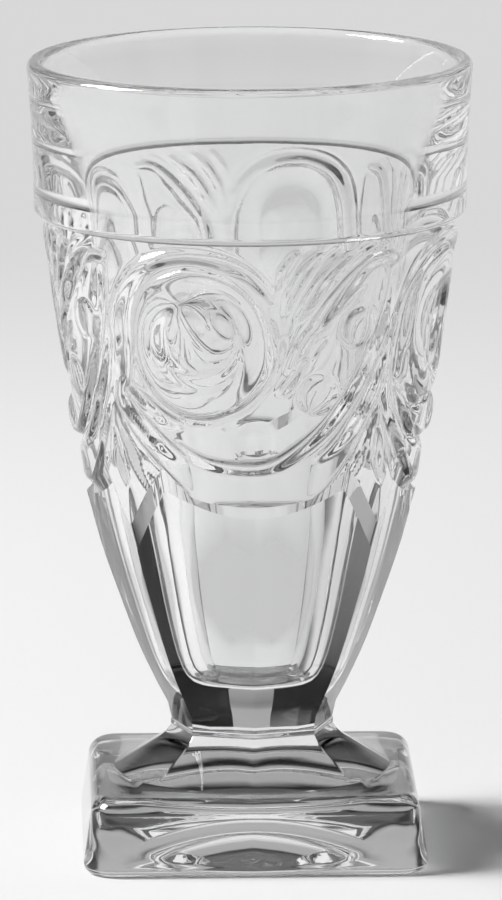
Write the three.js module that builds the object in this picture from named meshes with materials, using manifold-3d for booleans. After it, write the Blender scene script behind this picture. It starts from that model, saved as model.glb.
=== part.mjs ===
// A footed iced tea glass of clear pressed glass, in millimetres, +Z up.
// It stands on z = 0 with its axis on z. The side with -Y faces the front.
// The bowl and the square foot were pressed apart and stuck together hot by a thin wafer of glass.
import * as THREE from "three";
import { mergeVertices } from "three/addons/utils/BufferGeometryUtils.js";
import Module from "manifold-3d";

const wasm = await Module();
wasm.setup();

// The bowl, from the neck's flat end up to the lip
const BOWL_HEIGHT = 136.4;
const NECK_RADIUS = 16.4;
const NECK_LENGTH = 0.9;
const SHOULDER_HEIGHT = 47.6; // where the panels end and the ornament begins, above the neck's end
const SHOULDER_RADIUS = 33.5;
const STEP_HEIGHT = 104.6; // underside of the plain band, above the neck's end
const RIM_RADIUS = 45.2;
const RIM_FLARE = 1.3; // how much wider the rim is than the band's lower edge
const BAND_PROUD = 2; // how far the band stands out over the wall under it
const BAND_EDGE_ROUNDING = 1.8;
const LIP_THICKNESS = 3.4;

// The drinking space
const FLOOR_THICKNESS = 9.5; // glass under the floor, down to the neck's end
// Height and radius of its wall, as shares of the way from the floor's middle to the mouth
const SPACE_SHARES = [
  [0, 0.15],
  [0.01, 0.24],
  [0.035, 0.29],
  [0.08, 0.33],
  [0.23, 0.405],
  [0.32, 0.455],
  [0.4, 0.53],
  [0.51, 0.635],
  [0.76, 0.825],
  [1, 1],
];

// The eight panels of the lower bowl: each second edge, on the diagonals, stands further out
const PANEL_COUNT = 8;
const DIAGONAL_EDGE_SHARE = 1.06;
const PANEL_BEVEL = 2.2; // height over which a panel's top slopes out to the wall
const PANEL_TOP_RISE = 5.2; // how much higher a panel reaches beside the tongue than under the swag
const TONGUE_LENGTH = 13; // pointed tongue of wall that runs down each diagonal edge
const TONGUE_SHARE = 0.28; // of the half repeat that the tongue's top takes
// Height and radius of the panels' edges, as shares of the way from the neck to the shoulder
const PANEL_EDGE_SHARES = [
  [0, 0],
  [0.04, 0.03],
  [0.08, 0.085],
  [0.16, 0.2],
  [0.32, 0.4],
  [0.535, 0.615],
  [0.76, 0.825],
  [1, 1],
];

// The pressed ornament, which repeats round the bowl
const REPEAT_COUNT = 4;
const BOSS_RADIUS = 14.8; // the large round boss with a hollow eye
const BOSS_RISE = 1.1;
const BOSS_LINE_WIDTH = 1.2; // groove round the boss
const BOSS_LINE_DEPTH = 0.8;
const BED_MOUTH_SHARE = 0.4; // how far the cut for that groove opens outside the wall, of its depth
const EYE_RADIUS = 8.2;
const EYE_DEPTH = 1.6;
const DOT_RADIUS = 4.1;
const DOT_RISE = 1;
const CREST_WIDTH = 3.2; // rib that curls over the boss
const CREST_RISE = 0.9;
const CHANNEL_WIDTH = 3.2; // groove between the boss and the rib
const CHANNEL_DEPTH = 1.2;
const SWAG_LINE_WIDTH = 3; // grooves along both edges of the swag
const SWAG_LINE_DEPTH = 1.6;
const LEAF_WIDTH = 3.4; // hollow leaves that fan out beside the boss and along the swag
const LEAF_DEPTH = 1.2;

// Places in one repeat. The first number is a share of the repeat, counted from the swag's middle.
// The second is a share of the ornament's height, from the shoulder up to the band.
const BOSS_SHARES = [-0.186, 0.635];
const EYE_SHARES = [-0.197, 0.655];
const DOT_SHARES = [
  [0, 0.275],
  [0.213, 0.445],
  [0.355, 0.687],
];
const CREST_SHARES = [
  [-0.53, 0.53],
  [-0.507, 0.62],
  [-0.49, 0.715],
  [-0.452, 0.81],
  [-0.39, 0.89],
  [-0.3, 0.94],
  [-0.2, 0.955],
  [-0.1, 0.94],
  [-0.025, 0.9],
  [0.03, 0.845],
  [0.053, 0.8],
];
const CHANNEL_SHARES = [
  [-0.36, 0.4],
  [-0.42, 0.5],
  [-0.445, 0.64],
  [-0.42, 0.76],
  [-0.34, 0.865],
  [-0.24, 0.905],
];
const SWAG_INNER_SHARES = [
  [-0.3, 0.29],
  [-0.2, 0.215],
  [-0.11, 0.19],
  [0, 0.18],
  [0.09, 0.2],
  [0.17, 0.25],
  [0.25, 0.33],
  [0.33, 0.44],
  [0.39, 0.55],
  [0.43, 0.68],
  [0.46, 0.79],
  [0.475, 0.9],
];
const SWAG_OUTER_SHARES = [
  [-0.54, 0.43],
  [-0.51, 0.32],
  [-0.46, 0.21],
  [-0.39, 0.11],
  [-0.31, 0.055],
  [-0.2, 0.04],
  [0, 0.032],
  [0.19, 0.045],
  [0.26, 0.075],
  [0.33, 0.145],
  [0.4, 0.25],
  [0.46, 0.37],
  [0.485, 0.44],
];
// Each leaf runs from its pointed end to its rounded end
const LEAF_SHARES = [
  [[0.16, 0.96], [0.095, 0.9], [0.075, 0.84]],
  [[0.21, 0.965], [0.155, 0.91], [0.115, 0.83], [0.09, 0.76]],
  [[0.3, 0.96], [0.225, 0.88], [0.175, 0.8], [0.14, 0.73]],
  [[0.47, 0.95], [0.4, 0.93], [0.32, 0.87], [0.26, 0.79], [0.21, 0.715]],
  [[0.22, 0.71], [0.19, 0.68], [0.15, 0.61], [0.12, 0.55]],
  [[0.19, 0.6], [0.14, 0.52], [0.1, 0.46]],
  [[-0.46, 0.47], [-0.4, 0.41], [-0.33, 0.365], [-0.265, 0.335]],
  [[-0.51, 0.51], [-0.47, 0.42], [-0.41, 0.335], [-0.34, 0.265], [-0.255, 0.215]],
  [[-0.52, 0.37], [-0.48, 0.29], [-0.43, 0.21], [-0.36, 0.14], [-0.262, 0.08]],
  [[0.49, 0.67], [0.46, 0.55], [0.42, 0.44], [0.365, 0.34], [0.3, 0.255], [0.235, 0.21]],
  [[0.43, 0.29], [0.385, 0.19], [0.335, 0.115], [0.275, 0.075]],
];
// Fullness of a leaf and of a plain line along their length, as shares of the full width
const LEAF_FULLNESS_SHARES = [0.3, 0.7, 0.95, 1, 0.4];
const LINE_FULLNESS_SHARES = [0.4, 0.9, 1, 1, 1, 1, 1, 0.9, 0.4];
// Corners of a groove's and of a rib's section, as shares of its half width and of its depth
const GROOVE_SECTION_SHARES = [
  [1.5, 0.5],
  [-1.5, 0.5],
  [0, -1],
];
const RIB_SECTION_SHARES = [
  [1.2, -0.4],
  [0.5, 1],
  [-0.5, 1],
  [-1.2, -0.4],
];

// Outline of a dot from under the wall to its top, as shares of its radius and of its rise
const DOT_PROFILE_SHARES = [
  [1, -1],
  [1, 0.15],
  [0.78, 0.7],
  [0.4, 1],
];

// The wafer between the bowl and the foot
const WAFER_THICKNESS = 1.2;
const WAFER_OVERHANG = 0.2;

// The square foot
const FOOT_HEIGHT = 24.4;
const FOOT_SIDE = 69.7;
const FOOT_TOP_SIDE = 66.6;
const SLAB_THICKNESS = 15.7;
const SLAB_CORNER = 6;
const SLAB_TOP_ROUNDING = 3.4;
const SLAB_BASE_ROUNDING = 2.2;
const DOME_RADIUS = 28.5;
const RECESS_RADIUS = 24.6;
const RECESS_DEPTH = 4;
// Height and radius of the dome, as shares of the way from the slab up to the wafer
const DOME_SHARES = [
  [0, 0],
  [0.14, 0.157],
  [0.32, 0.364],
  [0.54, 0.603],
  [0.76, 0.84],
  [1, 1],
];

// How finely the surfaces are divided
const SWAG_STEPS = 4;
const TONGUE_STEPS = 2;
const PANEL_TOP_ROWS = 2;
const WALL_ROWS = 2;
const BAND_STEPS = 60;
const BAND_ROWS = 2;
const INSIDE_STEPS = 48;
const ROUNDING_STEPS = 3;
const LIP_STEPS = 4;
const BOSS_STEPS = 20;
const BOSS_ROWS = 3;
const EYE_ROWS = 3;
const DOT_STEPS = 10;
const CORNER_STEPS = 3;
const SIDE_STEPS = 4;
const RECESS_ROWS = 4;
const SPLINE_STEPS = 40;

const TURN = 2 * Math.PI;
const HALF_TURN = TURN / 2;
const QUARTER = TURN / 4;
const EIGHTH = TURN / PANEL_COUNT;
const REPEAT_ANGLE = TURN / REPEAT_COUNT;
const ORNAMENT_HEIGHT = STEP_HEIGHT - SHOULDER_HEIGHT;
const BAND_RADIUS = RIM_RADIUS - RIM_FLARE;
const STEP_RADIUS = BAND_RADIUS - BAND_PROUD;

const clearGlass = new THREE.MeshStandardMaterial({
  color: 0xe9edee,
  roughness: 0.04,
  metalness: 0,
  transparent: true,
  opacity: 0.35,
});

const mix = (from, to, share) => from + (to - from) * share;
const clamp01 = (value) => Math.min(1, Math.max(0, value));
const hump = (value) => Math.max(0, 1 - value * value);

// Shares from 0 to 1 in even steps
const steps = (count) => Array.from({ length: count + 1 }, (_, i) => i / count);

const evenAngles = (count) => steps(count).slice(0, count).map((share) => TURN * share);

// How far an angle is from the middle of the nearest of the four sides
const fromSide = (angle) => Math.abs(angle - QUARTER * Math.round(angle / QUARTER));

// Angles round the axis, the same on all four sides, with other steps from a bend to the diagonal
function bentAngles(bend, stepsBefore, stepsAfter) {
  const half = [
    ...steps(stepsBefore).map((share) => bend * share),
    ...steps(stepsAfter).slice(1).map((share) => mix(bend, QUARTER / 2, share)),
  ];
  const quarter = [...half, ...half.slice(1, -1).reverse().map((angle) => QUARTER - angle)];
  return evenAngles(4).flatMap((start) => quarter.map((angle) => start + angle));
}

// A ring of points round the axis. Angle 0 is the front, and angles grow towards +X.
function ring(angles, radiusAt, heightAt) {
  return angles.map((angle) => {
    const height = heightAt(angle);
    const radius = radiusAt(angle, height);
    return new THREE.Vector3(radius * Math.sin(angle), -radius * Math.cos(angle), height);
  });
}

const roundRing = (count, radius, height) => ring(evenAngles(count), () => radius, () => height);

const middle = (points) =>
  points.reduce((sum, point) => sum.add(point), new THREE.Vector3()).divideScalar(points.length);

// A closed solid through rings of points, with a flat end on the first ring and on the last.
// Neighbouring rings may have different numbers of points.
function loft(rings) {
  const points = rings.flat();
  const faces = [];
  let start = 0;
  rings.slice(1).forEach((upper, k) => {
    const lower = rings[k];
    const nextStart = start + lower.length;
    let a = 0;
    let b = 0;
    while (a < lower.length || b < upper.length) {
      const low = start + (a % lower.length);
      const high = nextStart + (b % upper.length);
      const lowMoves = (a + 1) * upper.length <= (b + 1) * lower.length;
      if (lowMoves) a += 1;
      else b += 1;
      const next = lowMoves ? start + (a % lower.length) : nextStart + (b % upper.length);
      faces.push(low, next, high);
    }
    start = nextStart;
  });
  const [first, last] = [rings[0], rings.at(-1)];
  first.forEach((_, i) => faces.push(points.length, (i + 1) % first.length, i));
  last.forEach((_, i) => faces.push(points.length + 1, start + i, start + ((i + 1) % last.length)));
  points.push(middle(first), middle(last));
  return new THREE.BufferGeometry().setFromPoints(points).setIndex(faces);
}

// A three.js geometry as a solid that can be joined and cut
function solid(geometry) {
  const bare = new THREE.BufferGeometry().setAttribute("position", geometry.getAttribute("position"));
  const merged = mergeVertices(bare.setIndex(geometry.index));
  return new wasm.Manifold(new wasm.Mesh({
    numProp: 3,
    vertProperties: merged.getAttribute("position").array,
    triVerts: new Uint32Array(merged.index.array),
  }));
}

function geometryOf(manifold) {
  const { vertProperties, triVerts } = manifold.getMesh();
  return new THREE.BufferGeometry()
    .setAttribute("position", new THREE.BufferAttribute(vertProperties, 3))
    .setIndex(new THREE.BufferAttribute(triVerts, 1));
}

// A smooth curve through shares, as a function from its first share to its second
function curveThrough(shares) {
  const curve = new THREE.SplineCurve(shares.map(([x, y]) => new THREE.Vector2(x, y)));
  const points = curve.getPoints(SPLINE_STEPS);
  return (x) => {
    const next = Math.max(1, points.findIndex((point) => point.x >= x));
    const [before, after] = [points[next - 1], points[next]];
    return mix(before.y, after.y, (x - before.x) / (after.x - before.x));
  };
}

// Radius of the eight-sided outline, whose edges on the diagonals stand further out
function panelRadius(angle, edge) {
  const diagonal = edge * DIAGONAL_EDGE_SHARE;
  const turned = fromSide(angle);
  const across = edge * Math.sin(turned) + diagonal * Math.sin(EIGHTH - turned);
  return (edge * diagonal * Math.sin(EIGHTH)) / across;
}

const wallSlope = (STEP_RADIUS - SHOULDER_RADIUS) / ORNAMENT_HEIGHT;
const wallRadius = (height) => SHOULDER_RADIUS + wallSlope * (height - SHOULDER_HEIGHT);

// The wall's outside: round under the band, and drawn out at the diagonals towards the panels
function outsideRadius(angle, height) {
  const up = clamp01((height - SHOULDER_HEIGHT) / ORNAMENT_HEIGHT);
  const drawn = (1 - up) * (fromSide(angle) / EIGHTH) ** 2;
  return wallRadius(height) * mix(1, DIAGONAL_EDGE_SHARE, drawn);
}

const panelEdgeShare = curveThrough(PANEL_EDGE_SHARES);

// Radius of the panels' edges at a height above the neck's end
function panelEdge(height) {
  if (height >= SHOULDER_HEIGHT) return wallRadius(height);
  const rise = clamp01((height - NECK_LENGTH) / (SHOULDER_HEIGHT - NECK_LENGTH));
  return mix(NECK_RADIUS, SHOULDER_RADIUS, panelEdgeShare(rise));
}

// Height where the panels end. A tongue of wall runs down each diagonal edge.
function panelTop(angle) {
  const share = fromSide(angle) / EIGHTH;
  const beside = 1 - TONGUE_SHARE;
  const tongue = clamp01((share - beside) / TONGUE_SHARE);
  return SHOULDER_HEIGHT + PANEL_TOP_RISE * clamp01(share / beside) ** 2 - TONGUE_LENGTH * tongue;
}

// The plain bowl before its ornament: panels, wall, band, lip and drinking space
function plainBowl() {
  const onPanel = (angle, height) => panelRadius(angle, panelEdge(height));
  const belowTongue = SHOULDER_HEIGHT + PANEL_TOP_RISE - TONGUE_LENGTH - PANEL_BEVEL;
  const heights = PANEL_EDGE_SHARES.map(([rise]) => mix(NECK_LENGTH, SHOULDER_HEIGHT, rise));
  const panels = [0, ...heights.filter((height) => height < belowTongue)].map((height) =>
    ring(evenAngles(PANEL_COUNT), onPanel, () => height));
  const columns = bentAngles((1 - TONGUE_SHARE) * EIGHTH, SWAG_STEPS, TONGUE_STEPS);
  const panelTops = steps(PANEL_TOP_ROWS).map((share) =>
    ring(columns, onPanel, (angle) => mix(belowTongue, panelTop(angle), share)));
  const wall = steps(WALL_ROWS).map((share) =>
    ring(columns, outsideRadius, (angle) => mix(panelTop(angle) + PANEL_BEVEL, STEP_HEIGHT, share)));
  return loft([...panels, ...panelTops, ...wall, ...band(), ...lip(), ...drinkingSpace()]);
}

// The plain band: its rounded lower edge, and its side, which flares a little towards the rim
function band() {
  const edge = steps(ROUNDING_STEPS).map((share) => {
    const turned = QUARTER * share;
    const radius = BAND_RADIUS - BAND_EDGE_ROUNDING * (1 - Math.sin(turned));
    return roundRing(BAND_STEPS, radius, STEP_HEIGHT + BAND_EDGE_ROUNDING * (1 - Math.cos(turned)));
  });
  const bottom = STEP_HEIGHT + BAND_EDGE_ROUNDING;
  const side = steps(BAND_ROWS).slice(1, -1).map((share) => {
    const radius = mix(BAND_RADIUS, RIM_RADIUS, share ** 2);
    return roundRing(BAND_STEPS, radius, mix(bottom, BOWL_HEIGHT - LIP_THICKNESS / 2, share));
  });
  return [...edge, ...side];
}

function lip() {
  const half = LIP_THICKNESS / 2;
  return steps(LIP_STEPS).map((share) => {
    const turned = HALF_TURN * share;
    const radius = RIM_RADIUS - half * (1 - Math.cos(turned));
    return roundRing(BAND_STEPS, radius, BOWL_HEIGHT - half * (1 - Math.sin(turned)));
  });
}

// From the mouth down through the thick wall to a small flat floor
function drinkingSpace() {
  const mouth = BOWL_HEIGHT - LIP_THICKNESS;
  return SPACE_SHARES.toReversed().map(([up, out]) => {
    const radius = (RIM_RADIUS - LIP_THICKNESS) * out;
    return roundRing(INSIDE_STEPS, radius, mix(FLOOR_THICKNESS, mouth, up));
  });
}

// The ornament is drawn flat: x runs across the wall, y up from the shoulder, and z out of it
function flatPlace([across, up]) {
  const y = up * ORNAMENT_HEIGHT;
  return new THREE.Vector2(across * REPEAT_ANGLE * wallRadius(SHOULDER_HEIGHT + y), y);
}

// Bends a flat form round the wall, turned to one of the repeats
function wrapped(geometry, turned) {
  const points = geometry.clone().getAttribute("position");
  for (let i = 0; i < points.count; i += 1) {
    const height = SHOULDER_HEIGHT + points.getY(i);
    const angle = turned + points.getX(i) / wallRadius(height);
    const radius = outsideRadius(angle, height) + points.getZ(i);
    points.setXYZ(i, radius * Math.sin(angle), -radius * Math.cos(angle), height);
  }
  return new THREE.BufferGeometry().setAttribute("position", points).setIndex(geometry.index);
}

// A bar along a flat path, as full at each of its steps as the shares say
function bar(shares, width, depth, fullnessShares, sectionShares) {
  const path = new THREE.SplineCurve(shares.map(flatPlace));
  const last = fullnessShares.length - 1;
  return loft(fullnessShares.map((fullness, i) => {
    const place = path.getPoint(i / last);
    const along = path.getTangent(i / last);
    return sectionShares.map(([asideShare, outShare]) => {
      const aside = (width / 2) * fullness * asideShare;
      return new THREE.Vector3(
        place.x - along.y * aside,
        place.y + along.x * aside,
        depth * fullness * outShare,
      );
    });
  }));
}

const rib = (shares, width, rise) =>
  bar(shares, width, rise, LINE_FULLNESS_SHARES, RIB_SECTION_SHARES);

const groove = (shares, width, depth) =>
  bar(shares, width, depth, LINE_FULLNESS_SHARES, GROOVE_SECTION_SHARES);

const leaf = (shares) =>
  bar(shares, LEAF_WIDTH, LEAF_DEPTH, LEAF_FULLNESS_SHARES, GROOVE_SECTION_SHARES);

// A round form: rings of given radius and height over the wall, from the lowest to the highest
function round(shares, count, profile) {
  const { x, y } = flatPlace(shares);
  return loft(profile.map(([radius, out]) => evenAngles(count).map((angle) =>
    new THREE.Vector3(x + radius * Math.sin(angle), y - radius * Math.cos(angle), out))));
}

// What is taken away round the boss, for the groove that sets it off
function bossBed() {
  const mouth = [BOSS_RADIUS + BOSS_LINE_WIDTH, BOSS_LINE_DEPTH * BED_MOUTH_SHARE];
  return round(BOSS_SHARES, BOSS_STEPS, [[BOSS_RADIUS, -BOSS_LINE_DEPTH], mouth]);
}

// The boss is a round cushion, highest halfway between its edge and the eye
function boss() {
  const half = (BOSS_RADIUS - EYE_RADIUS) / 2;
  const cushion = steps(BOSS_ROWS).slice(0, -1).map((share) => {
    const radius = mix(BOSS_RADIUS, EYE_RADIUS, share);
    return [radius, BOSS_RISE * hump((radius - EYE_RADIUS - half) / half)];
  });
  return round(BOSS_SHARES, BOSS_STEPS, [[BOSS_RADIUS, -2 * BOSS_LINE_DEPTH], ...cushion]);
}

// What is taken away for the hollow eye
function eye() {
  const hollow = steps(EYE_ROWS).slice(1).map((share) =>
    [EYE_RADIUS * Math.sin(QUARTER * share), -EYE_DEPTH * Math.cos(QUARTER * share)]);
  return round(EYE_SHARES, BOSS_STEPS, [...hollow, [EYE_RADIUS, 2 * BOSS_RISE]]);
}

function dot(shares) {
  const profile = DOT_PROFILE_SHARES.map(([across, up]) => [DOT_RADIUS * across, DOT_RISE * up]);
  return round(shares, DOT_STEPS, profile);
}

function bowl() {
  const hollow = [
    eye(),
    groove(CHANNEL_SHARES, CHANNEL_WIDTH, CHANNEL_DEPTH),
    groove(SWAG_INNER_SHARES, SWAG_LINE_WIDTH, SWAG_LINE_DEPTH),
    groove(SWAG_OUTER_SHARES, SWAG_LINE_WIDTH, SWAG_LINE_DEPTH),
    ...LEAF_SHARES.map(leaf),
  ];
  const raised = [boss(), rib(CREST_SHARES, CREST_WIDTH, CREST_RISE)];
  const onWall = (forms) =>
    evenAngles(REPEAT_COUNT).flatMap((turned) => forms.map((form) => solid(wrapped(form, turned))));
  let made = solid(plainBowl());
  for (const form of onWall([bossBed()])) made = made.subtract(form);
  for (const form of onWall(raised)) made = made.add(form);
  for (const form of onWall(hollow)) made = made.subtract(form);
  for (const form of onWall(DOT_SHARES.map(dot))) made = made.add(form);
  return geometryOf(made);
}

function wafer() {
  const outline = (angle) => panelRadius(angle, NECK_RADIUS + WAFER_OVERHANG);
  const edges = evenAngles(PANEL_COUNT);
  return loft([ring(edges, outline, () => 0), ring(edges, outline, () => WAFER_THICKNESS)]);
}

// Radius of a square with round corners
function squareRadius(angle, half, corner) {
  const turned = fromSide(angle);
  const straight = half - corner;
  if (half * Math.tan(turned) <= straight) return half / Math.cos(turned);
  const centre = straight * Math.SQRT2;
  const away = QUARTER / 2 - turned;
  return centre * Math.cos(away) + Math.sqrt(corner ** 2 - (centre * Math.sin(away)) ** 2);
}

// One ring of the slab's rounded edge, at an angle from the flat (0) to the side (a quarter turn)
function edgeRing(angles, side, rounding, turned, height) {
  const inset = rounding * (1 - Math.sin(turned));
  return ring(angles, (angle) => squareRadius(angle, side / 2 - inset, SLAB_CORNER - inset), () => height);
}

function foot() {
  const cornerStart = Math.atan((FOOT_SIDE - 2 * SLAB_CORNER) / FOOT_SIDE);
  const angles = bentAngles(cornerStart, SIDE_STEPS, CORNER_STEPS);
  const recess = steps(RECESS_ROWS).slice(1).map((share) =>
    ring(angles, () => RECESS_RADIUS * share, () => RECESS_DEPTH * hump(share)));
  const baseEdge = steps(ROUNDING_STEPS).map((share) => {
    const turned = QUARTER * share;
    const height = SLAB_BASE_ROUNDING * (1 - Math.cos(turned));
    return edgeRing(angles, FOOT_SIDE, SLAB_BASE_ROUNDING, turned, height);
  });
  const topEdge = steps(ROUNDING_STEPS).map((share) => {
    const turned = QUARTER * (1 - share);
    const height = SLAB_THICKNESS - SLAB_TOP_ROUNDING * (1 - Math.cos(turned));
    return edgeRing(angles, FOOT_TOP_SIDE, SLAB_TOP_ROUNDING, turned, height);
  });
  const dome = DOME_SHARES.map(([rise, share]) => {
    const outline = (angle) => mix(DOME_RADIUS, panelRadius(angle, NECK_RADIUS), share);
    return ring(angles, outline, () => mix(SLAB_THICKNESS, FOOT_HEIGHT, rise));
  });
  return loft([...recess, ...baseEdge, ...topEdge, ...dome]);
}

// The whole glass, each piece placed on the one that carries it
const glass = new THREE.Group();

function place(name, geometry, height) {
  const mesh = new THREE.Mesh(geometry, clearGlass);
  mesh.name = name;
  mesh.position.z = height;
  glass.add(mesh);
}

place("foot", foot(), 0);
place("joining_wafer", wafer(), FOOT_HEIGHT);
place("bowl", bowl(), FOOT_HEIGHT + WAFER_THICKNESS);

export default glass;
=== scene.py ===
"""The looks of a footed iced tea glass of clear pressed glass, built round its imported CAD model."""

import math

import bpy
import numpy as np
from bpy.props import FloatProperty, FloatVectorProperty, PointerProperty
from mathutils import Matrix, Vector


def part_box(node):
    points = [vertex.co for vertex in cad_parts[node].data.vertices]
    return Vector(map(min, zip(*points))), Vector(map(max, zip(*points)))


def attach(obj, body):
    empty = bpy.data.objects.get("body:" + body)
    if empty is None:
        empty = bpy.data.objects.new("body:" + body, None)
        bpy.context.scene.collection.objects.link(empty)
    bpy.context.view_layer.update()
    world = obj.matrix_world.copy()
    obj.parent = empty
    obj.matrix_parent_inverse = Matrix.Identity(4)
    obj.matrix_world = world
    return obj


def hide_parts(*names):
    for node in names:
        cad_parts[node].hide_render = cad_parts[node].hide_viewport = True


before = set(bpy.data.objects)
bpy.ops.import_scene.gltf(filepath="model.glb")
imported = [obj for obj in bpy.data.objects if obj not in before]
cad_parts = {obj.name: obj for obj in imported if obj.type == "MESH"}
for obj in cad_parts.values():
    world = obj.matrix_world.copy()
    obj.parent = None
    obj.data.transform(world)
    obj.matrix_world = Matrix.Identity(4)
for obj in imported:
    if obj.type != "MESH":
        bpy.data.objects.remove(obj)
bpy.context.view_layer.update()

bl_info = {
    "name": "Iced tea glass",
    "version": (1, 0, 0),
    "blender": (4, 5, 0),
    "location": "3D View > Sidebar > Tea Glass",
    "description": "Builds a footed tumbler of pressed glass, with its relief, and a plain studio",
    "category": "Add Mesh",
}

MM = 0.001
# Each piece is made as a quarter and repeated round the axis. Points within the seam distance are joined.
QUARTERS = 4
SEAM = 0.002 * MM
QUARTER = math.pi / 2
QUARTER_DEGREES = 90
EIGHTH = math.pi / 4

FOOT_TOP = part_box("foot")[1].z / MM
WAFER_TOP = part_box("joining_wafer")[1].z / MM
RIM_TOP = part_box("bowl")[1].z / MM
RIM_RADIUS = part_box("bowl")[1].x / MM
FOOT_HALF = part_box("foot")[1].x / MM

# The bowl's wall in millimetres: (height over the table, radius)
NECK_RADIUS = 16.4
SHOULDER = (73.2, 33.5)
STEP = (130.2, 41.9)
PANEL_EDGE = [
    (26.5, 16.4), (28.4, 16.9), (30.2, 17.85), (34.0, 19.8), (41.4, 23.2), (51.5, 26.9), (62.0, 30.5),
    SHOULDER,
]
# The drinking space under the mouth, and the foot's dome up to the neck: (radius, height)
CAVITY = [
    (38.0, 143.5), (34.4, 129.0), (30.5, 113.0), (26.4, 98.0), (22.2, 85.0), (19.0, 75.0), (16.9, 64.0),
    (15.3, 54.0), (13.8, 46.0), (12.2, 40.2), (10.0, 37.2), (6.0, 36.2), (0.0, 36.0),
]
DOME = [(28.5, 15.7), (26.6, 16.9), (24.1, 18.5), (21.2, 20.4), (18.3, 22.3), (16.4, 24.4)]
# The panels: their edges on the diagonals stand further out, and a tongue of wall runs down each of them
DIAGONAL_SHARE = 1.06
TONGUE_START_SHARE = 0.72
PANEL_TOP_RISE = 5.2
TONGUE_LENGTH = 13.0
# The slope at the panels' top: its height towards the sides and towards the diagonals. It starts to grow
# at the first of these shares of the way between them, and grows over the second.
BEVEL = (2.2, 5.2)
BEVEL_GROWTH = (0.5, 0.3)
# The relief runs out over this height under the band
RELIEF_END = 1.2
# How much the wafer stands out over the neck, and how far its edge keeps from its two faces
WAFER_PROUD = 0.2
WAFER_EDGE = 0.1

# The relief of one repeat. A place is (degrees from the swag's middle, millimetres over the table).
# An oval has its half width and half height, and a way its half widths from start to end, in
# millimetres. A slope is the height or depth of a form's middle for each millimetre of half width.
# A roundness under 1 makes a form fuller at its edge.
BOSS = ((-16.7, 109.6), (14.2, 15.6))
BOSS_HEIGHT = 0.9
BOSS_RING_SHARE = 0.79
BOSS_ROUNDNESS = 0.7
EYE = ((-17.6, 110.8), (8.6, 7.7))
EYE_DEPTH = 2.2
EYE_ROUNDNESS = 0.7
DOTS = [(31.9, 112.5), (19.2, 99.0), (-0.1, 89.0)]
DOT_HALF = (4.2, 4.2)
DOT_HEIGHT = 1.2
DOT_ROUNDNESS = 0.6
CREST_SLOPE = 0.62
RIDGE_SLOPE = 0.7
LEAF_SLOPE = 0.95
CHANNEL_SLOPE = 0.95
CREASE_SLOPE = 1.7
SWAG_INNER_SLOPE = 1.5
SWAG_OUTER_SLOPE = 1.2
CREST = (
    [(-47.8, 102), (-45.9, 108), (-44.3, 114), (-40.8, 119.5), (-35.3, 124), (-27.3, 127),
     (-18.3, 128), (-9.3, 127.2), (-2.3, 124.8), (2.7, 121.2), (4.7, 118.8)],
    [0.6, 0.8, 1.2, 1.7, 1.8, 1.7, 1.6, 1.5, 1.4, 1.2, 0.8],
)
CHANNEL = (
    [(-42.3, 101), (-41.3, 108), (-40.3, 114), (-37.3, 119), (-31.3, 123.5), (-21.3, 126),
     (-11.3, 125), (-4.3, 121.5), (0.7, 117.5), (4.7, 112), (6, 107), (5.2, 103.5)],
    [1.6, 2.2, 2.2, 1.9, 1.5, 1.0, 0.8, 0.8, 0.9, 1.2, 1.1, 0.7],
)
CREASE = (
    [(-23.3, 93.9), (-16.3, 93.6), (-11.3, 94.2), (-4.3, 96.2), (0.7, 99), (4.7, 102.5),
     (7.2, 107), (8, 112)],
    [0.5, 0.7, 0.7, 0.7, 0.7, 0.7, 0.6, 0.4],
)
FEATHER_RIDGES = [
    ([(7, 113), (6.7, 118), (7.3, 121.5), (9.2, 124.5), (12.7, 128), (14.7, 129.5)], [0.5, 0.6, 0.4]),
    ([(8.3, 110), (9.2, 114), (11.2, 118.5), (14.7, 123.3), (19.2, 127), (23.7, 129.3)], [0.5, 0.6, 0.4]),
    ([(8.5, 108), (11.2, 112.3), (15.2, 117), (19.7, 121.3), (24.7, 125), (30.7, 128.3), (34.7, 129.6)],
     [0.5, 0.7, 0.5]),
    ([(6.2, 102), (9.2, 107.5), (13.2, 112.5), (18.2, 117.3), (24.7, 122), (31.7, 126.3), (38.7, 128.6)],
     [0.5, 0.8, 0.5]),
    ([(11.2, 102.8), (14.2, 107), (17.7, 110.8), (21.7, 112.6), (23.2, 114.8), (27.7, 117.5), (32.2, 121)],
     [0.4, 0.6, 0.4]),
    ([(6.7, 99), (10.7, 99.5), (13.7, 103), (17.7, 108), (20.7, 110.5)], [0.4, 0.6, 0.4]),
]
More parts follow.
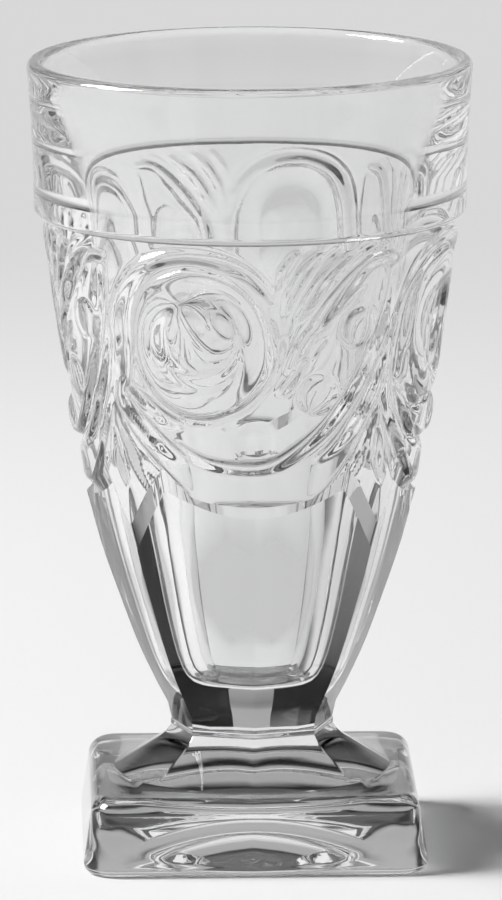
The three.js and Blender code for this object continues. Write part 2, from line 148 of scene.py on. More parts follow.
LEAVES = [
    ([(6.7, 121.5), (8.2, 124.5), (11.2, 128)], [0.5, 1.2, 0.8]),
    ([(8.4, 116.5), (10.7, 120.5), (13.7, 124.3), (17.7, 127.8)], [0.5, 1.3, 1.4, 0.7]),
    ([(12.3, 114.8), (15.7, 118.7), (19.7, 122.7), (26.2, 127.3)], [0.5, 1.4, 1.6, 0.8]),
    ([(18.7, 113.8), (23.2, 118), (28.7, 122.3), (34.7, 125.8), (42.7, 126.5)], [1.3, 2.0, 1.9, 1.3, 0.6]),
    ([(10.7, 104.3), (13.2, 108.3), (16.7, 112), (19.7, 113.5)], [1.1, 1.4, 1.1, 0.5]),
    ([(8.2, 100), (11.7, 103), (14.7, 106.5)], [1.2, 1.3, 0.6]),
    ([(-41.3, 100.5), (-35.3, 97), (-29.3, 94), (-23.8, 92.8)], [0.8, 1.3, 1.4, 0.9]),
    ([(-45.3, 103), (-42.3, 97.5), (-37.3, 93), (-31.3, 89), (-26.3, 86.6), (-22.8, 85.8)],
     [0.5, 1.1, 1.5, 1.7, 1.6, 0.9]),
    ([(-46.3, 95), (-43.3, 90.5), (-38.3, 86), (-32.3, 82), (-27.3, 79.3), (-23.6, 77.9)],
     [0.6, 1.3, 1.7, 1.9, 1.7, 1.0]),
    ([(-48.3, 90), (-47.3, 84), (-45.3, 80)], [0.5, 1.2, 0.8]),
    ([(43.9, 111.5), (41.2, 105), (37.7, 99), (32.7, 93.3), (27.2, 88.6), (21.2, 85.7)],
     [0.6, 1.3, 1.6, 1.6, 1.5, 0.9]),
    ([(38.7, 90), (34.7, 84.5), (30.2, 79.8), (24.7, 77)], [0.6, 1.2, 1.3, 0.8]),
]
SWAG_INNER = (
    [(-25.3, 88.6), (-18.3, 85.7), (-11.3, 84.3), (-1.3, 83.8), (6.7, 84.7), (14.7, 87.8),
     (22.7, 92.3), (29.7, 98.3), (35.2, 105), (39.2, 112), (41.5, 118), (42.5, 124)],
    [0.5, 0.9, 1.3, 1.5, 1.5, 1.4, 1.3, 1.2, 1.1, 1.0, 0.8, 0.6],
)
SWAG_OUTER = (
    [(-47.8, 98), (-45.8, 92), (-41.3, 85.5), (-35.3, 79.3), (-28.3, 75.9), (-19.3, 75.0),
     (-9.3, 74.9), (-0.3, 74.9), (8.7, 74.9), (16.7, 75.4), (22.7, 77), (28.7, 81.5), (34.7, 87.5),
     (39.7, 94), (43.2, 100.5), (45.7, 108)],
    [0.6, 0.7, 0.8, 1.0, 1.2, 1.5, 1.8, 1.9, 1.8, 1.5, 1.2, 1.0, 0.9, 0.8, 0.7, 0.5],
)

# The glass's faint waves: how many there are in a metre, and how high the finer ones are beside them
WAVE_SCALE = 55.0
RIPPLE_SCALE = 260.0
RIPPLE_SHARE = 0.12

# The studio, in metres. The table's glow falls off over the fade distances from the glass, to the fade
# share, and it takes the place of the lamp's light over the glow distances.
TABLE_HALF = 6.0
TABLE_DEPTH = 0.1 * MM
FADE = (0.1, 0.8)
FADE_SHARE = 0.8
GLOW = (0.2, 0.8)
LAMP_SIZE = 1.4
LAMP_PLACE = (-2.4, 0, 1.8)
LAMP_AIM = (0, 0, 0.05)
# The room. Azimuths in degrees run from behind the glass to its right side, each with the half width of
# its bright field and its share of the fields' level. Heights in the room are sines of the elevation.
WINDOWS = [(0, 19, 0.7), (-45, 13, 0.4), (135, 13, 0.5), (-90, 15, 0.4), (90, 15, 0.3), (180, 15, 0.3)]
WINDOW_SOFTNESS = 4
WINDOW_TOP = (0.27, 0.43)
SKY_START = (0.4, 0.55)
BACKDROP_TOP = (0.05, 0.08)
# The camera: its turn round the glass and its roll in degrees, the height it aims at and its sensor's
# height in millimetres, and how far it sees in metres
AROUND = -1.4
ROLL = -0.2
AIM_HEIGHT = 81.2
SENSOR_HEIGHT = 24
FARTHEST_SEEN = 30
# Bounces of light that the thick clear walls need
GLASS_BOUNCES = 24
MIRROR_BOUNCES = 16


class BowlSizes(bpy.types.PropertyGroup):
    """Sizes of the bowl that its CAD box doesn't settle"""

    lip: FloatProperty(name="Lip", description="Thickness of the lip", default=3.4 * MM, unit="LENGTH")
    band_flare: FloatProperty(
        name="Flare",
        description="How much wider the rim is than the band's foot",
        default=1.3 * MM,
        unit="LENGTH",
    )
    band_rounding: FloatProperty(
        name="Band rounding",
        description="Rounding of the band's lower edge",
        default=1.8 * MM,
        unit="LENGTH",
    )
    relief: FloatProperty(
        name="Relief", description="Strength of the pressed relief", default=1.0, min=0.0, subtype="FACTOR"
    )


class FootSizes(bpy.types.PropertyGroup):
    """Sizes of the square foot that its CAD box doesn't settle"""

    slab: FloatProperty(name="Slab", description="Thickness of the slab", default=15.7 * MM, unit="LENGTH")
    top_half: FloatProperty(
        name="Top half width",
        description="Half the slab's width at its top",
        default=33.3 * MM,
        unit="LENGTH",
    )
    corner: FloatProperty(
        name="Corner", description="Radius of the upright corners", default=6 * MM, unit="LENGTH"
    )
    top_rounding: FloatProperty(
        name="Top rounding", description="Rounding of the upper edges", default=3.4 * MM, unit="LENGTH"
    )
    base_rounding: FloatProperty(
        name="Base rounding", description="Rounding of the lower edges", default=2.2 * MM, unit="LENGTH"
    )
    dome: FloatProperty(
        name="Dome", description="Radius of the dome's foot", default=DOME[0][0] * MM, unit="LENGTH"
    )
    recess: FloatProperty(
        name="Recess", description="Radius of the hollow underneath", default=24.6 * MM, unit="LENGTH"
    )
    recess_depth: FloatProperty(
        name="Recess depth", description="Depth of the hollow underneath", default=4 * MM, unit="LENGTH"
    )


class GlassFinish(bpy.types.PropertyGroup):
    """Colour and surface of the clear glass"""

    colour: FloatVectorProperty(
        name="Colour",
        description="Colour of the glass",
        subtype="COLOR",
        default=(0.915, 0.92, 0.92),
        size=3,
    )
    ior: FloatProperty(name="Index", description="Index of refraction", default=1.52)
    roughness: FloatProperty(name="Roughness", description="Least roughness", default=0.0, subtype="FACTOR")
    wave: FloatProperty(
        name="Wave", description="Height of the mould's faint waves", default=0.05 * MM, unit="LENGTH"
    )


class StudioSettings(bpy.types.PropertyGroup):
    """Light, floor and camera"""

    floor: FloatVectorProperty(
        name="Floor",
        description="Colour of the floor",
        subtype="COLOR",
        default=(0.86, 0.86, 0.86),
        size=3,
    )
    backdrop: FloatProperty(
        name="Backdrop", description="Level of the pale backdrop", default=0.86, min=0.0
    )
    windows: FloatProperty(name="Windows", description="Level of the bright fields", default=0.6, min=0.0)
    sky: FloatProperty(name="Sky", description="Level over the bright fields", default=0.1, min=0.0)
    dark: FloatProperty(
        name="Dark room", description="Level between the bright fields", default=0.0, min=0.0
    )
    spread: FloatProperty(
        name="Spread light", description="Level that lights the floor", default=0.1, min=0.0
    )
    lamp: FloatProperty(name="Lamp", description="Power of the lamp", default=145, min=0.0, unit="POWER")
    distance: FloatProperty(
        name="Camera distance", description="From the glass's axis", default=1.9, unit="LENGTH"
    )
    height: FloatProperty(name="Camera height", description="Over the table", default=0.442, unit="LENGTH")
    lens: FloatProperty(name="Lens", description="Focal length in millimetres", default=253.17)


def smooth(value):
    """Goes smoothly from 0 to 1 as the value does"""
    value = np.clip(value, 0, 1)
    return value * value * (3 - 2 * value)


def from_side(angle):
    """How far an angle is from the middle of the nearest of the four sides"""
    return np.abs(angle - QUARTER * np.round(angle / QUARTER))


def smooth_way(points, widths=(1, 1), pieces=6):
    """A smooth curve through the points, with so many pieces between two of them, and its half widths"""
    points = np.array(points, float)
    knots = np.arange(len(points))
    widths = np.interp(np.linspace(0, 1, len(points)), np.linspace(0, 1, len(widths)), widths)
    padded = np.vstack([2 * points[0] - points[1], points, 2 * points[-1] - points[-2]])
    steps = np.linspace(0, len(points) - 1, pieces * (len(points) - 1) + 1)
    start = np.minimum(steps.astype(int), len(points) - 2)
    t = (steps - start)[:, None]
    # Each stretch is a cubic between the middle two of four points
    a, b, c, d = (padded[start + k] for k in range(4))
    square, cube = 2 * a - 5 * b + 4 * c - d, 3 * b - a - 3 * c + d
    curve = 0.5 * (2 * b + (c - a) * t + square * t**2 + cube * t**3)
    return curve, np.interp(steps, knots, widths)


def wall_line(height):
    """Radius of the plain wall at a height, in millimetres"""
    slope = (STEP[1] - SHOULDER[1]) / (STEP[0] - SHOULDER[0])
    return SHOULDER[1] + slope * (height - SHOULDER[0])


def outside(angle, height):
    """Radius of the bowl over its panels and without its relief"""
    up = np.clip((height - SHOULDER[0]) / (STEP[0] - SHOULDER[0]), 0, 1)
    drawn = (1 - up) * (from_side(angle) / EIGHTH) ** 2
    return wall_line(height) * (1 + (DIAGONAL_SHARE - 1) * drawn)


def octagon(angle, edge):
    """Radius of the eight-sided outline, whose edges on the diagonals stand further out"""
    diagonal = edge * DIAGONAL_SHARE
    turned = from_side(angle)
    across = edge * np.sin(turned) + diagonal * np.sin(EIGHTH - turned)
    return edge * diagonal * math.sin(EIGHTH) / across


def panel_edge(height):
    """Radius of the panels' edges at a height"""
    curve, _ = smooth_way(PANEL_EDGE, pieces=8)
    inside = np.interp(height, curve[:, 0], curve[:, 1])
    return np.where(height > SHOULDER[0], wall_line(height), inside)


def panel_top(angle):
    """Height where the panels end: a pointed tongue of wall runs down each diagonal edge"""
    share = from_side(angle) / EIGHTH
    tongue = np.clip((share - TONGUE_START_SHARE) / (1 - TONGUE_START_SHARE), 0, 1)
    rise = PANEL_TOP_RISE * np.clip(share / TONGUE_START_SHARE, 0, 1) ** 2
    return SHOULDER[0] + rise - TONGUE_LENGTH * tongue


def bevel_height(angle):
    """Height over which a panel's top slopes out to the wall"""
    share = from_side(angle) / EIGHTH
    return BEVEL[0] + (BEVEL[1] - BEVEL[0]) * smooth((share - BEVEL_GROWTH[0]) / BEVEL_GROWTH[1])


class Relief:
    """Heights of the pressed ornament over the plain wall, at places given in degrees and millimetres"""

    def __init__(self, degrees, heights):
        self.degrees = degrees
        self.heights = heights
        self.radius = wall_line(heights)

    def _across(self, degrees, height, repeat):
        """Millimetres along the wall from a place of the pattern's repeat to every point"""
        turn = np.radians(self.degrees - degrees - QUARTER_DEGREES * repeat)
        return turn * (self.radius + wall_line(height)) / 2

    def share_of_oval(self, centre, half, repeat):
        """Share of an oval's half widths that each point is off its centre"""
        across = self._across(centre[0], centre[1], repeat)
        return np.hypot(across / half[0], (self.heights - centre[1]) / half[1])

    def share_of_way(self, way, repeat):
        """Share of the half width that each point is off the way's middle line, and that half width"""
        points, widths = smooth_way(*way)
        best = np.full(self.degrees.shape, np.inf)
        local = np.zeros(self.degrees.shape)
        for a, b, first, last in zip(points, points[1:], widths, widths[1:]):
            scale = np.radians(wall_line((a[1] + b[1]) / 2))
            run, rise = (b[0] - a[0]) * scale, b[1] - a[1]
            x = (self.degrees - a[0] - QUARTER_DEGREES * repeat) * scale
            z = self.heights - a[1]
            t = np.clip((x * run + z * rise) / (run * run + rise * rise), 0, 1)
            width = first + (last - first) * t
            share = np.hypot(x - run * t, z - rise * t) / width
            closer = share < best
            best = np.where(closer, share, best)
            local = np.where(closer, width, local)
        return best, local

    def rib(self, way, slope, repeat):
        """A form with a round section along a way"""
        share, width = self.share_of_way(way, repeat)
        return slope * width * np.clip(1 - share**2, 0, 1)

    def heights_over_wall(self):
        """All the forms together. The leaves and the channel stop at the boss."""
        raised = np.zeros(self.degrees.shape)
        hollow = np.zeros(self.degrees.shape)
        dots = np.zeros(self.degrees.shape)
        for repeat in (-1, 0, 1):
            boss = self.share_of_oval(*BOSS, repeat)
            off_ring = (boss - BOSS_RING_SHARE) / (1 - BOSS_RING_SHARE)
            ring = BOSS_HEIGHT * np.clip(1 - off_ring**2, 0, 1) ** BOSS_ROUNDNESS
            crest = self.rib(CREST, CREST_SLOPE, repeat)
            ridges = [self.rib(way, RIDGE_SLOPE, repeat) for way in FEATHER_RIDGES]
            raised = np.maximum.reduce([raised, ring, crest, *ridges])
            eye = self.share_of_oval(*EYE, repeat)
            scoops = [self.rib(way, LEAF_SLOPE, repeat) * (boss > 1) for way in LEAVES]
            hollow = np.maximum.reduce([
                hollow,
                EYE_DEPTH * np.clip(1 - eye**2, 0, 1) ** EYE_ROUNDNESS,
                self.rib(CHANNEL, CHANNEL_SLOPE, repeat) * (boss > 1),
                self.rib(CREASE, CREASE_SLOPE, repeat),
                self.rib(SWAG_INNER, SWAG_INNER_SLOPE, repeat),
                self.rib(SWAG_OUTER, SWAG_OUTER_SLOPE, repeat),
                *scoops,
            ])
            for dot in DOTS:
                share = self.share_of_oval(dot, DOT_HALF, repeat)
                dots = np.maximum(dots, DOT_HEIGHT * np.clip(1 - share**2, 0, 1) ** DOT_ROUNDNESS)
        return raised - hollow + dots


def sheet_object(name, rings, sharp_rings=(), sharp_columns=()):
    """A quarter of a piece as a mesh through rings of points. A ring is (radii, angles, heights) in
    millimetres. A sharp column is (its place, its first ring, its last ring)."""
    shape = rings[0][1].shape
    radius, angle, height = (
        np.array([np.broadcast_to(ring[part], shape) for ring in rings]) for part in range(3)
    )
    places = np.stack([radius * np.sin(angle), -radius * np.cos(angle), height], axis=-1) * MM
    rows, columns = radius.shape
    index = np.arange(rows * columns).reshape(rows, columns)
    corners = [index[:-1, :-1], index[:-1, 1:], index[1:, 1:], index[1:, :-1]]
    quads = np.stack(corners, axis=-1).reshape(-1, 4)
    mesh = bpy.data.meshes.new(name)
    mesh.from_pydata(places.reshape(-1, 3), [], quads.tolist())
    sharp = mesh.attributes.new("sharp_edge", "BOOLEAN", "EDGE")
    ends = np.array([edge.vertices for edge in mesh.edges])
    row, column = ends // columns, ends % columns
    along = (row[:, 0] == row[:, 1]) & np.isin(row[:, 0], [r % rows for r in sharp_rings])
    upright = np.zeros(len(ends), bool)
    for place, first, last in sharp_columns:
        here = (column == place).all(axis=1) & (row >= first).all(axis=1) & (row <= last).all(axis=1)
        upright |= here
    sharp.data.foreach_set("value", along | upright)
    made = bpy.data.objects.new(name, mesh)
    bpy.context.scene.collection.objects.link(made)
    return made


def repeat_tree():
    """Geometry nodes that repeat a sector round the z axis and join the copies to one shell"""
    name = "Repeat round the axis"
    if name in bpy.data.node_groups:
        return bpy.data.node_groups[name]
    tree = bpy.data.node_groups.new(name, "GeometryNodeTree")
    face = tree.interface
    face.new_socket("Sector", in_out="INPUT", socket_type="NodeSocketGeometry")
    face.new_socket("Copies", in_out="INPUT", socket_type="NodeSocketInt")
    face.new_socket("Seam Distance", in_out="INPUT", socket_type="NodeSocketFloat")
    face.new_socket("Glass", in_out="INPUT", socket_type="NodeSocketMaterial")
    face.new_socket("Shell", in_out="OUTPUT", socket_type="NodeSocketGeometry")
    nodes, links = tree.nodes, tree.links
    given = nodes.new("NodeGroupInput")
    made = nodes.new("NodeGroupOutput")
    instance = nodes.new("GeometryNodeGeometryToInstance")
    copies = nodes.new("GeometryNodeDuplicateElements")
    copies.domain = "INSTANCE"
    turn = nodes.new("ShaderNodeMath")
    turn.operation = "DIVIDE"
    turn.inputs[0].default_value = 2 * math.pi
    angle = nodes.new("ShaderNodeMath")
    angle.operation = "MULTIPLY"
    axis = nodes.new("ShaderNodeCombineXYZ")
    rotate = nodes.new("GeometryNodeRotateInstances")
    realize = nodes.new("GeometryNodeRealizeInstances")
    join = nodes.new("GeometryNodeMergeByDistance")
    finish = nodes.new("GeometryNodeSetMaterial")
    links.new(given.outputs["Sector"], instance.inputs["Geometry"])
    links.new(instance.outputs["Instances"], copies.inputs["Geometry"])
    links.new(given.outputs["Copies"], copies.inputs["Amount"])
    links.new(given.outputs["Copies"], turn.inputs[1])
    links.new(turn.outputs[0], angle.inputs[0])
    links.new(copies.outputs["Duplicate Index"], angle.inputs[1])
    links.new(angle.outputs[0], axis.inputs["Z"])
    links.new(copies.outputs["Geometry"], rotate.inputs["Instances"])
    links.new(axis.outputs["Vector"], rotate.inputs["Rotation"])
    links.new(rotate.outputs["Instances"], realize.inputs["Geometry"])
    links.new(realize.outputs["Geometry"], join.inputs["Geometry"])
    links.new(given.outputs["Seam Distance"], join.inputs["Distance"])
    links.new(join.outputs["Geometry"], finish.inputs["Geometry"])
    links.new(given.outputs["Glass"], finish.inputs["Material"])
    links.new(finish.outputs["Geometry"], made.inputs["Shell"])
    return tree


def repeated(sector, name, material):
    """The whole piece: the quarter repeated by the geometry nodes, as a plain mesh"""
    sector.data.materials.append(material)
    modifier = sector.modifiers.new("Repeat", "NODES")
    tree = repeat_tree()
    modifier.node_group = tree
    values = {"Copies": QUARTERS, "Seam Distance": SEAM, "Glass": material}
    for socket in tree.interface.items_tree:
        if socket.name in values:
            modifier[socket.identifier] = values[socket.name]
    graph = bpy.context.evaluated_depsgraph_get()
    mesh = bpy.data.meshes.new_from_object(sector.evaluated_get(graph))
    bpy.data.objects.remove(sector)
    mesh.name = name
    mesh.polygons.foreach_set("use_smooth", np.ones(len(mesh.polygons), bool))
    piece = bpy.data.objects.new(name, mesh)
    bpy.context.scene.collection.objects.link(piece)
    return piece


class Maths:
    """A socket of a node tree. Sums and products of it add their nodes."""

    def __init__(self, tree, socket=None):
        self.tree = tree
        self.socket = socket

    def node(self, kind, settings, values, output=0):
        """Adds a node, with its settings first and then the values or links of its sockets"""
        made = self.tree.nodes.new(kind)
        for name, value in settings.items():
            setattr(made, name, value)
        for name, value in values.items():
            if isinstance(value, Maths):
                self.tree.links.new(value.socket, made.inputs[name])
            else:
                made.inputs[name].default_value = value
        return Maths(self.tree, made.outputs[output])

    def _maths(self, operation, first, second):
        return self.node("ShaderNodeMath", {"operation": operation}, {0: first, 1: second})

    def __add__(self, other):
        return self._maths("ADD", self, other)

    def __sub__(self, other):
        return self._maths("SUBTRACT", self, other)

    def __rsub__(self, other):
        return self._maths("SUBTRACT", other, self)

    def __mul__(self, other):
        return self._maths("MULTIPLY", self, other)

    def __truediv__(self, other):
        return self._maths("DIVIDE", self, other)

    def __rtruediv__(self, other):
        return self._maths("DIVIDE", other, self)

    def at_least(self, other):
        """The greater of this value and the other"""
        return self._maths("MAXIMUM", self, other)

    def rise(self, low, high, start=0.0, end=1.0):
        """Goes smoothly from start to end as the value goes from low to high"""
        values = {"Value": self, "From Min": low, "From Max": high, "To Min": start, "To Max": end}
        return self.node("ShaderNodeMapRange", {"interpolation_type": "SMOOTHSTEP"}, values)

    def length(self, other):
        """Length of the flat vector of this value and the other"""
        return self._maths("SQRT", self * self + other * other, 0.0)

    def parts(self):
        """The x, y and z of a vector"""
        split = self.node("ShaderNodeSeparateXYZ", {}, {0: self}).socket.node
        return [Maths(self.tree, socket) for socket in split.outputs]

    def lights_surfaces(self):
        """1 for the rays that light rough surfaces, 0 for those of the camera, of mirrors and of glass"""
        return self.node("ShaderNodeLightPath", {}, {}, "Is Diffuse Ray")

    def blend(self, factor, other):
        """This value where the factor is 0, and the other where it is 1"""
        return self.node("ShaderNodeMix", {"data_type": "FLOAT"}, {0: factor, 2: self, 3: other})

    __radd__ = __add__
    __rmul__ = __mul__


def clear_glass():
    """Fire-polished pressed glass, with the faint waves that the mould leaves"""
    name = "clear pressed glass"
    if name in bpy.data.materials:
        return bpy.data.materials[name]
    finish = bpy.context.scene.tea_glass_finish
    material = bpy.data.materials.new(name)
    material.use_nodes = True
    tree = material.node_tree
    shader = tree.nodes["Principled BSDF"]
    start = Maths(tree)
    place = start.node("ShaderNodeTexCoord", {}, {}, "Object")
    waves = start.node("ShaderNodeTexNoise", {}, {"Vector": place, "Scale": WAVE_SCALE, "Detail": 1.0})
    ripples = start.node("ShaderNodeTexNoise", {}, {"Vector": place, "Scale": RIPPLE_SCALE, "Detail": 1.0})
    height = waves + ripples * RIPPLE_SHARE
    bump = start.node("ShaderNodeBump", {}, {"Strength": 1.0, "Distance": finish.wave, "Height": height})
    tree.links.new(bump.socket, shader.inputs["Normal"])
    shader.inputs["Base Color"].default_value = (*finish.colour, 1)
    shader.inputs["Roughness"].default_value = finish.roughness
    shader.inputs["IOR"].default_value = finish.ior
    shader.inputs["Transmission Weight"].default_value = 1.0
    return material


def fit_to_frame(piece, node):
    """Hangs the piece under the root's empty and hides the CAD node that it stands for"""
    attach(piece, "root")
    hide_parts(node)


def quarter_angles(count):
    """Angles across the front quarter"""
    return np.linspace(-EIGHTH, EIGHTH, count + 1)


class TEAGLASS_OT_bowl(bpy.types.Operator):
    """Build the bowl with its panels, relief, band and drinking space"""

    bl_idname = "tea_glass.bowl"
    bl_label = "Bowl"

    COLUMNS = 120
    PANEL_ROWS = 14
    RELIEF_ROWS = 132
    BAND_ROUNDING_STEPS = 7
    BAND_ROWS = 8
    LIP_STEPS = 10
    SMOOTHING_SHARE = 0.3

    def execute(self, context):
        sizes = context.scene.tea_glass_bowl
        angles = quarter_angles(self.COLUMNS)
        rings = []
        top = panel_top(angles)
        for share in np.linspace(0, 1, self.PANEL_ROWS + 1):
            height = WAFER_TOP + (top - WAFER_TOP) * share
            rings.append((octagon(angles, panel_edge(height)), angles, height))
        start = top + bevel_height(angles)
        shares = np.linspace(0, 1, self.RELIEF_ROWS + 1)[:, None]
        heights = start + (STEP[0] - start) * shares
        radii = self.wall(angles, heights, sizes.relief)
        rings += [(radius, angles, height) for radius, height in zip(radii, heights)]
        rings += self.band(angles, sizes) + self.inside(angles, sizes)
        edges = [(column, 0, self.PANEL_ROWS) for column in (0, self.COLUMNS // 2, self.COLUMNS)]
        sharp = [0, self.PANEL_ROWS, self.PANEL_ROWS + 1, self.PANEL_ROWS + 1 + self.RELIEF_ROWS]
        sector = sheet_object("bowl_sector", rings, sharp, edges)
        piece = repeated(sector, "pressed_bowl", clear_glass())
        fit_to_frame(piece, "bowl")
        return {"FINISHED"}

    @classmethod
    def wall(cls, angles, heights, strength):
        """Radii of the wall with its relief, softened over the neighbouring points as polished glass is"""
        degrees = np.broadcast_to(np.degrees(angles), heights.shape)
        aside = cls.SMOOTHING_SHARE * (degrees[0, 1] - degrees[0, 0])
        above = cls.SMOOTHING_SHARE * (heights[1, 0] - heights[0, 0])
        relief = sum(
            Relief(degrees + right * aside, heights + up * above).heights_over_wall()
            for right in (-1, 1) for up in (-1, 1)
        ) / 4
        relief[:, 1:-1] = (relief[:, :-2] + 2 * relief[:, 1:-1] + relief[:, 2:]) / 4
        # The first and the last column lie on one seam, so they get the same heights
        relief[:, 0] = relief[:, -1] = (relief[:, 0] + relief[:, -1] + relief[:, 1] + relief[:, -2]) / 4
        relief[1:-1] = (relief[:-2] + 2 * relief[1:-1] + relief[2:]) / 4
        under_band = smooth((STEP[0] - heights) / RELIEF_END)
        return outside(angles, heights) + strength * relief * under_band

    @classmethod
    def band(cls, angles, sizes):
        """Rings of the plain band, with its rounded lower edge, and of the round lip"""
        rim, lip = RIM_RADIUS, sizes.lip / MM
        rounding, flare = sizes.band_rounding / MM, sizes.band_flare / MM
        band = rim - flare
        rings = []
        for turned in np.linspace(0, QUARTER, cls.BAND_ROUNDING_STEPS + 1):
            radius = band - rounding * (1 - math.sin(turned))
            rings.append((radius, angles, STEP[0] + rounding * (1 - math.cos(turned))))
        low, high = STEP[0] + rounding, RIM_TOP - lip / 2
        for share in np.linspace(0, 1, cls.BAND_ROWS + 1)[1:-1]:
            rings.append((band + flare * share**2, angles, low + (high - low) * share))
        for turned in np.linspace(0, math.pi, cls.LIP_STEPS + 1):
            radius = rim - lip / 2 * (1 - math.cos(turned))
            rings.append((radius, angles, RIM_TOP - lip / 2 * (1 - math.sin(turned))))
        return rings

    @staticmethod
    def inside(angles, sizes):
        """Rings of the drinking space, from the mouth down to the middle of its floor"""
        mouth = (RIM_RADIUS - sizes.lip / MM, RIM_TOP - sizes.lip / MM)
        curve, _ = smooth_way([mouth, *CAVITY], pieces=2)
        return [(radius, angles, height) for radius, height in curve[1:]]


class TEAGLASS_OT_wafer(bpy.types.Operator):
    """Build the thin wafer that joins the bowl to the foot"""

    bl_idname = "tea_glass.wafer"
    bl_label = "Joining wafer"

    COLUMNS = 48
    ROWS = 4

    def execute(self, context):
        angles = quarter_angles(self.COLUMNS)
        neck = octagon(angles, NECK_RADIUS)
        proud = octagon(angles, NECK_RADIUS + WAFER_PROUD)
        low, high = FOOT_TOP + WAFER_EDGE, WAFER_TOP - WAFER_EDGE
        heights = low + (high - low) * np.linspace(0, 1, self.ROWS + 1)
        side = [(proud, angles, height) for height in heights]
        rings = [(neck, angles, FOOT_TOP), *side, (neck, angles, WAFER_TOP)]
        edges = [(column, 0, len(rings)) for column in (0, self.COLUMNS // 2, self.COLUMNS)]
        sector = sheet_object("wafer_sector", rings, (), edges)
        piece = repeated(sector, "wafer_of_glass", clear_glass())
        fit_to_frame(piece, "joining_wafer")
        return {"FINISHED"}


class TEAGLASS_OT_foot(bpy.types.Operator):
    """Build the square foot with its dome and the hollow underneath"""

    bl_idname = "tea_glass.foot"
    bl_label = "Square foot"

    COLUMNS = 96
    HOLLOW_ROWS = 12
    BASE_STEPS = 6
    TOP_STEPS = 9

    def execute(self, context):
        sizes = context.scene.tea_glass_foot
        angles = quarter_angles(self.COLUMNS)
        radius, depth = sizes.recess / MM, sizes.recess_depth / MM
        shares = np.linspace(0, 1, self.HOLLOW_ROWS + 1)
        rings = [(radius * share, angles, depth * (1 - share * share)) for share in shares]
        base, top = sizes.base_rounding / MM, sizes.top_rounding / MM
        slab, corner = sizes.slab / MM, sizes.corner / MM
        for turned in np.linspace(0, QUARTER, self.BASE_STEPS + 1):
            inset = base * (1 - math.sin(turned))
            outline = self.square(angles, FOOT_HALF - inset, corner - inset)
            rings.append((outline, angles, base * (1 - math.cos(turned))))
        for turned in np.linspace(QUARTER, 0, self.TOP_STEPS + 1):
            inset = top * (1 - math.sin(turned))
            outline = self.square(angles, sizes.top_half / MM - inset, corner - inset)
            rings.append((outline, angles, slab - top * (1 - math.cos(turned))))
        curve, _ = smooth_way(DOME, pieces=4)
        for radius, height in curve:
            share = (radius - DOME[0][0]) / (DOME[-1][0] - DOME[0][0])
            outline = sizes.dome / MM * (1 - share) + octagon(angles, NECK_RADIUS) * share
            rings.append((outline, angles, height))
        sector = sheet_object("foot_sector", rings)
        piece = repeated(sector, "square_foot", clear_glass())
        fit_to_frame(piece, "foot")
        return {"FINISHED"}

    @staticmethod
    def square(angles, half, corner):
        """Radius of a square with round corners"""
        turned = from_side(angles)
        straight = half - corner
        centre = straight * math.sqrt(2)
        away = EIGHTH - turned
        inside = np.clip(corner**2 - (centre * np.sin(away)) ** 2, 0, None)
        rounded = centre * np.cos(away) + np.sqrt(inside)
        return np.where(half * np.tan(turned) <= straight, half / np.cos(turned), rounded)


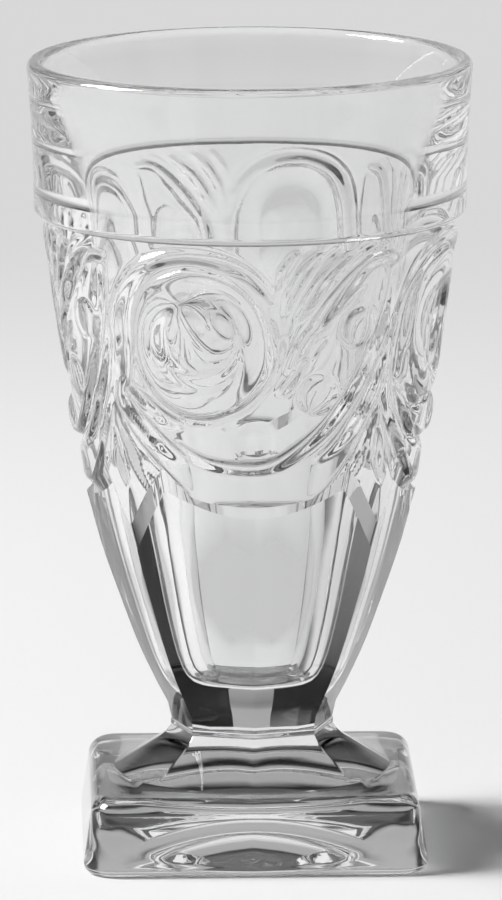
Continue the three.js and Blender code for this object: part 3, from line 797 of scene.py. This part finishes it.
class TEAGLASS_OT_studio(bpy.types.Operator):
    """Build the pale floor, the soft light and the camera"""

    bl_idname = "tea_glass.studio"
    bl_label = "Studio"

    def execute(self, context):
        settings = context.scene.tea_glass_studio
        self.floor(settings)
        self.world(context.scene, settings)
        self.lamp(settings)
        self.camera(context.scene, settings)
        context.scene.view_settings.view_transform = "Standard"
        cycles = context.scene.cycles
        cycles.max_bounces = cycles.transmission_bounces = GLASS_BOUNCES
        cycles.glossy_bounces = MIRROR_BOUNCES
        return {"FINISHED"}

    @staticmethod
    def floor(settings):
        """A pale table, just under the foot"""
        mesh = bpy.data.meshes.new("floor")
        sides = ((-1, -1), (1, -1), (1, 1), (-1, 1))
        corners = [(x * TABLE_HALF, y * TABLE_HALF, -TABLE_DEPTH) for x, y in sides]
        mesh.from_pydata(corners, [], [(0, 1, 2, 3)])
        floor = bpy.data.objects.new("floor", mesh)
        bpy.context.scene.collection.objects.link(floor)
        material = bpy.data.materials.new("pale table")
        material.use_nodes = True
        tree = material.node_tree
        shader = tree.nodes["Principled BSDF"]
        start = Maths(tree)
        shader.inputs["Base Color"].default_value = (*settings.floor, 1)
        shader.inputs["Specular IOR Level"].default_value = 0.0
        x, y, _ = start.node("ShaderNodeTexCoord", {}, {}, "Object").parts()
        away = x.length(y)
        # Away from the glass the table takes on the backdrop's glow, so no horizon shows
        level = away.rise(*FADE, settings.backdrop, settings.backdrop * FADE_SHARE)
        glow = start.node("ShaderNodeEmission", {}, {"Color": level})
        share = away.rise(*GLOW) * (1 - start.lights_surfaces())
        both = start.node("ShaderNodeMixShader", {}, {0: share, 1: Maths(tree, shader.outputs[0]), 2: glow})
        tree.links.new(both.socket, tree.nodes["Material Output"].inputs["Surface"])
        mesh.materials.append(material)

    @staticmethod
    def world(scene, settings):
        """A low pale backdrop all round, and over it a dark room with soft bright fields"""
        world = bpy.data.worlds.new("studio")
        scene.world = world
        world.use_nodes = True
        tree = world.node_tree
        start = Maths(tree)
        x, y, up = start.node("ShaderNodeTexCoord", {}, {}, "Generated").parts()
        flat = x.length(y)
        seen = up.rise(*BACKDROP_TOP, settings.backdrop * FADE_SHARE, settings.dark)
        seen = seen.at_least(up.rise(*SKY_START, settings.dark, settings.sky))
        low = up.rise(*WINDOW_TOP, start=1.0, end=0.0)
        for azimuth, half, share in WINDOWS:
            toward = (x * math.sin(math.radians(azimuth)) + y * math.cos(math.radians(azimuth))) / flat
            edges = [math.cos(math.radians(half + soft)) for soft in (WINDOW_SOFTNESS, -WINDOW_SOFTNESS)]
            seen = seen.at_least(toward.rise(*edges) * low * (share * settings.windows))
        seen = seen.blend(start.lights_surfaces(), settings.spread)
        background = tree.nodes["Background"]
        background.inputs["Color"].default_value = (1, 1, 1, 1)
        tree.links.new(seen.socket, background.inputs["Strength"])

    @staticmethod
    def lamp(settings):
        """One large soft lamp at the left, which doesn't show as a white patch through the glass"""
        lamp = bpy.data.lights.new("soft window", "AREA")
        lamp.energy = settings.lamp
        lamp.size = LAMP_SIZE
        made = bpy.data.objects.new("soft window", lamp)
        made.location = LAMP_PLACE
        made.rotation_euler = (Vector(LAMP_AIM) - made.location).to_track_quat("-Z", "Y").to_euler()
        made.visible_transmission = False
        bpy.context.scene.collection.objects.link(made)

    @staticmethod
    def camera(scene, settings):
        """The photograph's point of view"""
        data = bpy.data.cameras.new("camera")
        data.sensor_fit = "VERTICAL"
        data.sensor_height = SENSOR_HEIGHT
        data.lens = settings.lens
        data.clip_end = FARTHEST_SEEN
        camera = bpy.data.objects.new("camera", data)
        scene.collection.objects.link(camera)
        around = math.radians(AROUND)
        distance = settings.distance
        eye = Vector((distance * math.sin(around), -distance * math.cos(around), settings.height))
        aim = Vector((0, 0, AIM_HEIGHT * MM))
        turn = (aim - eye).to_track_quat("-Z", "Y").to_matrix().to_4x4()
        roll = Matrix.Rotation(math.radians(ROLL), 4, "Z")
        camera.matrix_world = Matrix.Translation(eye) @ turn @ roll
        scene.camera = camera


class TEAGLASS_PT_panel(bpy.types.Panel):
    """Sizes, finish and steps of the glass"""

    bl_idname = "TEAGLASS_PT_panel"
    bl_label = "Tea Glass"
    bl_space_type = "VIEW_3D"
    bl_region_type = "UI"
    bl_category = "Tea Glass"

    def draw(self, context):
        for settings, operators in STEPS:
            group = getattr(context.scene, settings)
            for name in group.bl_rna.properties.keys():
                if name not in ("rna_type", "name"):
                    self.layout.prop(group, name)
            for operator in operators:
                self.layout.operator(operator.bl_idname)


GROUPS = {
    "tea_glass_bowl": BowlSizes,
    "tea_glass_foot": FootSizes,
    "tea_glass_finish": GlassFinish,
    "tea_glass_studio": StudioSettings,
}
STEPS = [
    ("tea_glass_bowl", [TEAGLASS_OT_bowl, TEAGLASS_OT_wafer]),
    ("tea_glass_foot", [TEAGLASS_OT_foot]),
    ("tea_glass_finish", []),
    ("tea_glass_studio", [TEAGLASS_OT_studio]),
]
OPERATORS = [operator for _, operators in STEPS for operator in operators]


def register():
    for kind in [*GROUPS.values(), *OPERATORS, TEAGLASS_PT_panel]:
        bpy.utils.register_class(kind)
    for name, group in GROUPS.items():
        setattr(bpy.types.Scene, name, PointerProperty(type=group))


def unregister():
    for name in GROUPS:
        delattr(bpy.types.Scene, name)
    for kind in [*GROUPS.values(), *OPERATORS, TEAGLASS_PT_panel][::-1]:
        bpy.utils.unregister_class(kind)


def main():
    register()
    bpy.ops.tea_glass.studio()
    bpy.ops.tea_glass.foot()
    bpy.ops.tea_glass.wafer()
    bpy.ops.tea_glass.bowl()


if __name__ == "__main__":
    main()
